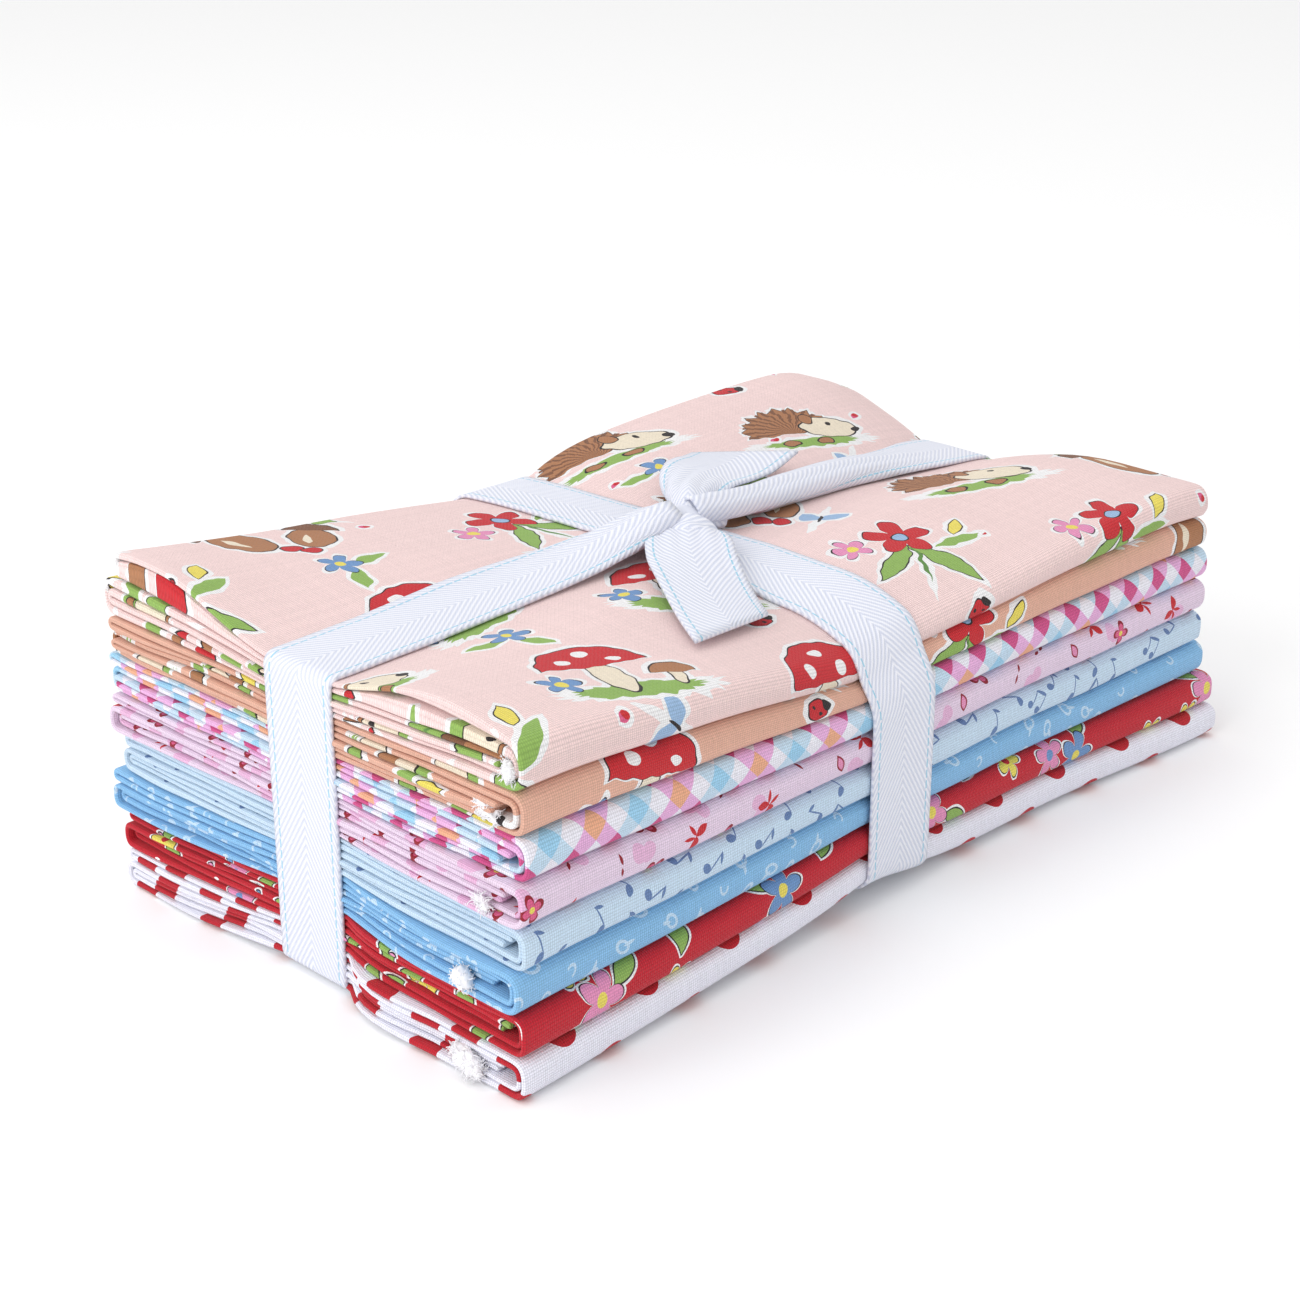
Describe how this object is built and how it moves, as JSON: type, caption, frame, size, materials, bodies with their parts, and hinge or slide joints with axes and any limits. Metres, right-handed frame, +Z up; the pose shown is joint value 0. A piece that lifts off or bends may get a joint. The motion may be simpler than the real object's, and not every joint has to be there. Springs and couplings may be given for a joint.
{
  "type": "fabric bundle",
  "caption": "Stack of folded printed quilting cottons, tied lengthways and crossways with cotton twill tape that ends in a knot with loose tails on top",
  "frame": {"origin": "under the middle of the whole bundle, in the plane it rests on: the underside of the tape crossing and of the lowest cloth's four corner pads", "axes": "+X along the long side, from the end seen in the picture with the ridges of the folds to the hidden end; -Y to the long side seen in the picture, with the smooth front folds; +Z up"},
  "size_m": [0.2894, 0.1664, 0.0989],
  "materials": {
    "blush_pink_print": "printed quilting cotton, matt, blush pink with woodland motifs",
    "apricot_print": "printed quilting cotton, matt, apricot with woodland motifs",
    "bias_gingham": "printed quilting cotton, matt, slanting check of raspberry, orchid, sky blue and apricot",
    "lilac_pink_print": "printed quilting cotton, matt, lilac pink with small tossed flowers",
    "light_blue_print": "printed quilting cotton, matt, light blue with small music notes",
    "mid_blue_print": "printed quilting cotton, matt, mid blue with small white marks",
    "red_bouquet_print": "printed quilting cotton, matt, red with flower bunches",
    "white_dot_print": "printed quilting cotton, matt, white with large red dots",
    "twill_tape": "white herringbone twill tape with a light blue stitch line inside each edge"
  },
  "bodies": {
    "root": {"cloth_1_blush_pink": "blush_pink_print", "cloth_2_apricot": "apricot_print", "cloth_3_bias_gingham": "bias_gingham", "cloth_4_lilac_pink": "lilac_pink_print", "cloth_5_light_blue_notes": "light_blue_print", "cloth_6_mid_blue": "mid_blue_print", "cloth_7_red_bouquets": "red_bouquet_print", "cloth_8_white_dots": "white_dot_print", "ribbon_tie": "twill_tape"}
  },
  "joints": []
}
